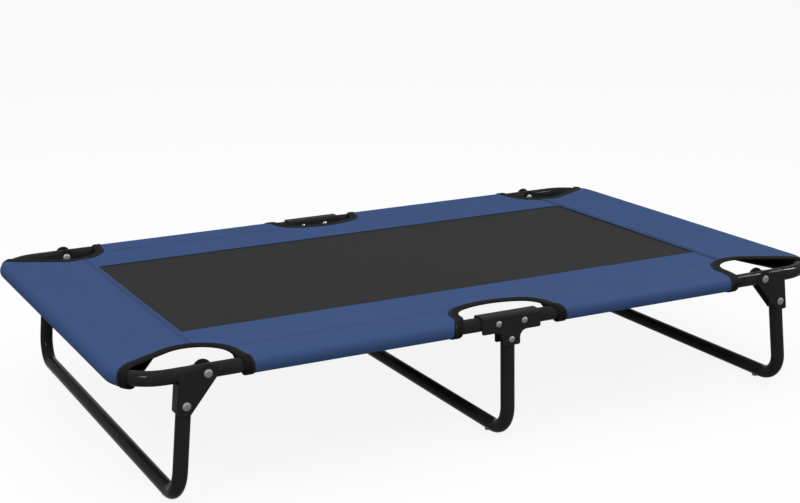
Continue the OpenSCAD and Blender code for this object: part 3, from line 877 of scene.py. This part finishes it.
def tape_strip(name, stations, flip, node):
    """Sweeps the folded tape along its stations; flip mirrors it to its own corner."""
    shape = bmesh.new()
    flat = shape.verts.layers.float_vector.new("flat")
    rings, run = [], 0.0
    for spot, room in stations:
        fold = FOLD_LEAST + min(FOLD_MORE, room)
        rim = LIP + [(w, share * fold) for w, share in FOLD] + SLOT
        ring = [shape.verts.new(spot(w, lift) * Vector((*flip, 1))) for w, lift in rim]
        if rings:
            run += (ring[LIP_MIDDLE].co - rings[-1][LIP_MIDDLE].co).length
        for i, corner in enumerate(ring):
            corner[flat] = (run, RIM_STEP * i, 0)
        rings.append(ring)
    for one, two in zip(rings, rings[1:]):
        for j in range(len(one)):
            k = (j + 1) % len(one)
            shape.faces.new((one[j], two[j], two[k], one[k]))
    shape.faces.new(rings[0])
    shape.faces.new(rings[-1])
    bmesh.ops.recalc_face_normals(shape, faces=shape.faces)
    strip = piece_of(name, shape, [webbing])
    strip.data.set_sharp_from_angle(angle=0.9)
    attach(strip, "frame")
    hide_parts(node)


webbing, wire, shader = material("black_webbing")
along, _, _ = axes_of(wire, wire.node("ShaderNodeUVMap", {"uv_map": "cut"}))
place = object_place(wire)
ribs = (along * (math.tau / RIB)).sine() * 0.5 + 0.5
fuzz = noise(wire, place, scale=900, detail=3.0, rough=0.6)
dust = noise(wire, place, scale=30, detail=4.0, rough=0.6)
feed(shader, "Base Color", blend_colour(wire, ribs * 0.45 + dust * 0.4 + fuzz * 0.15,
                                        (0.0048, 0.0048, 0.0045), (0.0130, 0.0130, 0.0122)))
feed(shader, "Roughness", 0.66 + 0.18 * fuzz)
feed(shader, "Normal", bump(wire, ribs + fuzz * 0.5, distance=0.0003, strength=0.5))
shader.inputs["Specular IOR Level"].default_value = 0.015

corner_run, middle_run = corner_stations(), middle_stations()
for depth, way_y in (("front", -1), ("back", 1)):
    for end, way_x in (("left", -1), ("right", 1)):
        tape_strip(f"{depth}_{end}_binding", corner_run, (way_x, way_y), f"{depth}_{end}_tape")
    tape_strip(f"{depth}_middle_binding", middle_run, (1, way_y), f"{depth}_middle_tape")


# Stitches
# Lockstitch rows in polyester thread: double rows in dark blue along the panel seams and one
# black row along every binding tape, each stitch a short taut thread pressed into the cloth.
def thread(name, colour):
    """Twisted thread, a little darker and lighter by turns."""
    made, wire, shader = material(name)
    twist = noise(wire, object_place(wire), scale=1800, detail=2.0)
    feed(shader, "Base Color", blend_colour(wire, twist, [c * 0.7 for c in colour],
                                            [c * 1.3 for c in colour]))
    feed(shader, "Roughness", 0.5 + 0.2 * twist)
    shader.inputs["Specular IOR Level"].default_value = 0.3
    return made


def stitch_tree(finish):
    """Puts one stitch at every step of the rows it is given."""
    tree = bpy.data.node_groups.new("stitch_rows_" + finish.name, "GeometryNodeTree")
    face = tree.interface
    face.new_socket("Rows", in_out="INPUT", socket_type="NodeSocketGeometry")
    sizes = {}
    for label, value in (("Spacing", 0.0042), ("Stitch length", 0.0034), ("Thread width", 0.0008)):
        socket = face.new_socket(label, in_out="INPUT", socket_type="NodeSocketFloat")
        socket.default_value = value
        sizes[label] = socket.identifier
    face.new_socket("Stitches", in_out="OUTPUT", socket_type="NodeSocketGeometry")

    def add(kind, **settings):
        made = tree.nodes.new(kind)
        for key, value in settings.items():
            setattr(made, key, value)
        return made

    def join(one, out, two, into):
        tree.links.new(one.outputs[out], two.inputs[into])

    given, result = add("NodeGroupInput"), add("NodeGroupOutput")
    curve = add("GeometryNodeMeshToCurve")
    spaced = add("GeometryNodeResampleCurve", mode="LENGTH")
    bead = add("GeometryNodeMeshUVSphere")
    bead.inputs["Segments"].default_value = 6
    bead.inputs["Rings"].default_value = 4
    bead.inputs["Radius"].default_value = 0.5
    form = add("ShaderNodeCombineXYZ")
    sized = add("GeometryNodeTransform")
    heading = add("GeometryNodeInputTangent")
    turn = add("FunctionNodeAlignRotationToVector", axis="X")
    placed = add("GeometryNodeInstanceOnPoints")
    real = add("GeometryNodeRealizeInstances")
    smooth = add("GeometryNodeSetShadeSmooth")
    coat = add("GeometryNodeSetMaterial")
    coat.inputs["Material"].default_value = finish
    join(given, "Rows", curve, "Mesh")
    join(curve, "Curve", spaced, "Curve")
    join(given, "Spacing", spaced, "Length")
    join(given, "Stitch length", form, "X")
    join(given, "Thread width", form, "Y")
    join(given, "Thread width", form, "Z")
    join(bead, "Mesh", sized, "Geometry")
    join(form, "Vector", sized, "Scale")
    join(heading, "Tangent", turn, "Vector")
    join(spaced, "Curve", placed, "Points")
    join(sized, "Geometry", placed, "Instance")
    join(turn, "Rotation", placed, "Rotation")
    join(placed, "Instances", smooth, "Geometry")
    join(smooth, "Geometry", real, "Geometry")
    join(real, "Geometry", coat, "Geometry")
    join(coat, "Geometry", result, "Stitches")
    return tree, sizes


def sew(name, rows, finish, sizes):
    """One piece with a stitch at every step along each row of points."""
    mesh = bpy.data.meshes.new(name)
    points, lines = [], []
    for row in rows:
        lines += [(len(points) + i, len(points) + i + 1) for i in range(len(row) - 1)]
        points += [tuple(point) for point in row]
    mesh.from_pydata(points, lines, [])
    piece = bpy.data.objects.new(name, mesh)
    scene.collection.objects.link(piece)
    tree, names = stitch_tree(finish)
    sewn = piece.modifiers.new("stitches", "NODES")
    sewn.node_group = tree
    for label, value in sizes.items():
        sewn[names[label]] = value
    settle(piece)
    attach(piece, "frame")


# The rows are laid out in these steps, this far over the cloth's middle, and stop this far from
# the tape of the cut-outs
ROW_STEP, ROW_LIFT = 0.004, CLOTH / 2 + 0.0001
SIDE_CLEAR, END_CLEAR = 0.008, 0.001


def on_cloth(place, room, reach, v, clear):
    """The stretches of a seam line that lie on the deck, that far clear of the cut-outs' tape."""
    rows, row = [], []
    for u in steps(-reach, reach, ROW_STEP):
        if room(u, v) > TAPE_W + clear:
            row.append(place(u, v) + Vector((0, 0, ROW_LIFT)))
        else:
            rows.append(row)
            row = []
    return [found for found in rows + [row] if len(found) > 2]


blue_rows = []
for way in (-1, 1):
    for v in SIDE_ROWS:
        blue_rows += on_cloth(side_place(way), side_room, SIDE_ROW_END, v, SIDE_CLEAR)
    for v in END_ROWS:
        blue_rows += on_cloth(end_place(way), end_room, END_ROW_END, v, END_CLEAR)
sew("seam_stitches", blue_rows, thread("dark_blue_thread", (0.012, 0.021, 0.052)),
    {"Spacing": 0.0042, "Thread width": 0.0011})

# The row along a tape lies this far in from the cut edge and over the cloth
TAPE_ROW_IN, TAPE_ROW_UP = 0.0116, 0.0018
black_rows = []
for way_y in (-1, 1):
    for way_x, stations in ((-1, corner_run), (1, corner_run), (1, middle_run)):
        black_rows.append([spot(TAPE_ROW_IN, TAPE_ROW_UP) * Vector((way_x, way_y, 1))
                           for spot, _ in stations])
sew("binding_stitches", black_rows, thread("black_thread", (0.012, 0.012, 0.012)),
    {"Spacing": 0.0040, "Thread width": 0.0007})
